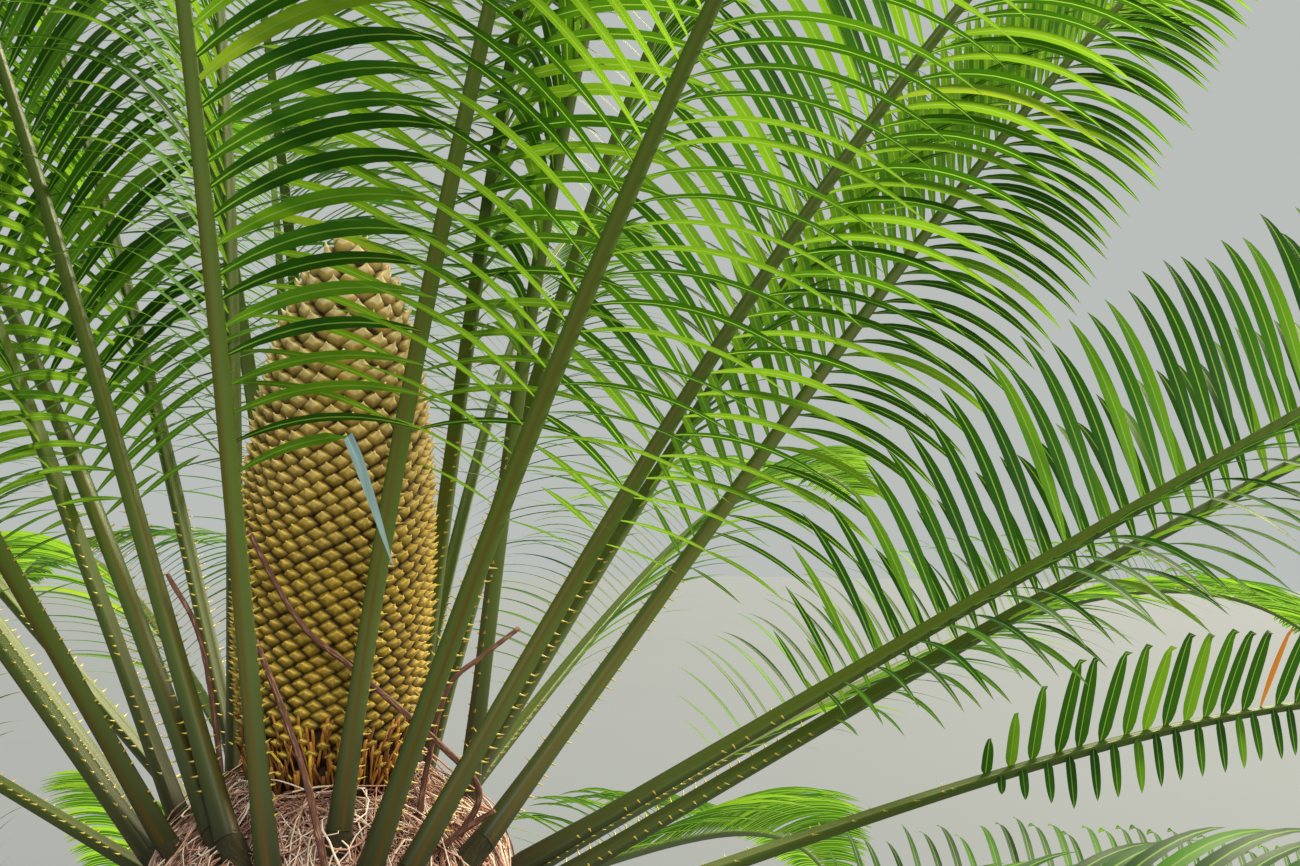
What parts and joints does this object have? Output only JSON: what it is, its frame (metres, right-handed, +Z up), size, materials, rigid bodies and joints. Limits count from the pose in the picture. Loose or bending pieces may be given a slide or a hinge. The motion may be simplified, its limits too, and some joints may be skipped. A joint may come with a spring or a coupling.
{
  "type": "sago palm",
  "caption": "Rooted sago palm, a cycad: stout trunk armoured with old leaf bases, woolly crown with one upright golden pollen cone, and arching feather-shaped fronds.",
  "frame": {"origin": "middle of the flat cut under the trunk, at ground level", "axes": "+Z up, the trunk's foot at the origin, -Y towards the side that the picture was taken from, +X to the right in that view"},
  "size_m": [3.653, 3.4931, 2.8587],
  "materials": {
    "bark": "rough, grey-brown",
    "wool": "matted tan fibre",
    "cone": "downy golden scales",
    "frond": "glossy green leaf",
    "dry_stalk": "dry and dull"
  },
  "bodies": {
    "root": {"trunk": "bark", "crown_wool": "wool", "pollen_cone": "cone", "frond_01": "frond", "frond_02": "frond", "frond_03": "frond", "frond_04": "frond", "frond_05": "frond", "frond_06": "frond", "frond_07": "frond", "frond_08": "frond", "frond_09": "frond", "frond_10": "frond", "frond_11": "frond", "frond_12": "frond", "frond_13": "frond", "frond_14": "frond", "frond_15": "frond", "frond_16": "frond", "frond_17": "frond", "frond_18": "frond", "frond_19": "frond", "frond_20": "frond", "frond_21": "frond", "frond_22": "frond", "frond_23": "frond", "frond_24": "frond", "frond_25": "frond", "frond_26": "frond", "frond_27": "frond", "frond_28": "frond", "frond_29": "frond", "frond_30": "frond", "frond_31": "frond", "frond_32": "frond", "frond_33": "frond", "frond_34": "frond", "frond_35": "frond", "frond_36": "frond", "frond_37": "frond", "frond_38": "frond", "frond_39": "frond", "frond_40": "frond", "dry_stalk_1": "dry_stalk", "dry_stalk_2": "dry_stalk", "dry_stalk_3": "dry_stalk", "dry_stalk_4": "dry_stalk", "dry_stalk_5": "dry_stalk"}
  },
  "joints": []
}
